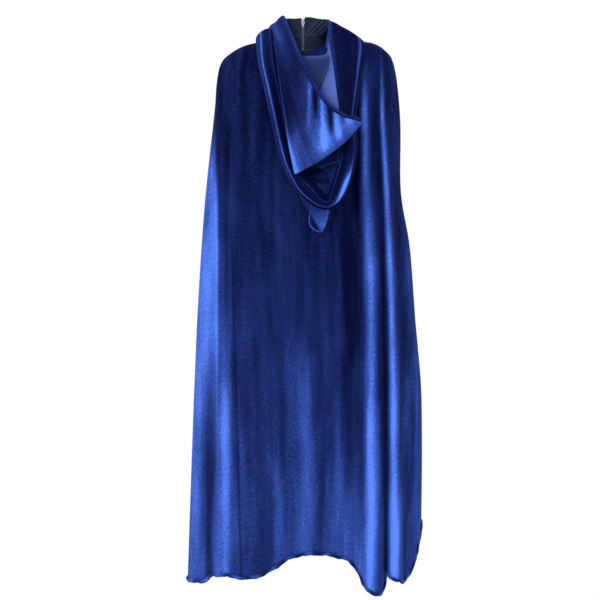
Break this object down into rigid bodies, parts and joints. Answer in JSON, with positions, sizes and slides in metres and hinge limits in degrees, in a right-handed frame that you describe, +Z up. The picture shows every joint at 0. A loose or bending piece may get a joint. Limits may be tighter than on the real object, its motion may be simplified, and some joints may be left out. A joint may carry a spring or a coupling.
{
  "type": "hooded costume cape",
  "caption": "Long velvet costume cape with a lined hood hanging down the back, a stand collar and a short back zip.",
  "frame": {"origin": "middle of the neck, level with the neck seam at the centre back, where the shoulders of a hanger or a wearer carry the cape", "axes": "+Z up, +Y the way the wearer faces, so the back of the cape faces -Y, and +X to the wearer's right"},
  "size_m": [0.5671, 0.2426, 1.3747],
  "materials": {
    "velvet": "royal blue stretch velvet with a soft sheen",
    "hood_lining": "smooth satin-like lining in slate blue",
    "collar_jersey": "matte charcoal navy jersey",
    "elastic": "woven elastic",
    "zip_tape": "woven tape",
    "zip_teeth": "nylon coil",
    "zip_metal": "nickel plated"
  },
  "bodies": {
    "cape": {"cape_back_panel": "velvet", "cape_front_left_panel": "velvet", "cape_front_right_panel": "velvet", "hood_outer_left": "velvet", "hood_outer_right": "velvet", "hood_lining_left": "hood_lining", "hood_lining_right": "hood_lining", "hood_edge_casing_left": "velvet", "hood_edge_casing_right": "velvet", "hood_edge_elastic_left": "elastic", "hood_edge_elastic_right": "elastic", "neck_binding": "collar_jersey", "neck_band": "collar_jersey", "collar_outer": "collar_jersey", "collar_facing": "collar_jersey", "zip_tape_left": "zip_tape", "zip_teeth_left": "zip_teeth", "zip_top_stop_left": "zip_metal", "zip_tape_right": "zip_tape", "zip_teeth_right": "zip_teeth", "zip_top_stop_right": "zip_metal", "zip_bottom_stop": "zip_metal"},
    "zip_slider": {"zip_slider": "zip_metal"},
    "zip_pull": {"zip_pull_tab": "zip_metal"}
  },
  "joints": [
    {"name": "zip_slide", "type": "slide", "parent": "cape", "child": "zip_slider", "axis": [0, 0, -1], "range_m": [0, 0.055]},
    {"name": "pull_flip", "type": "hinge", "parent": "zip_slider", "child": "zip_pull", "pos_m": [0, -0.04315, 0.0681], "axis": [-1, 0, 0], "range_deg": [0, 170]}
  ]
}
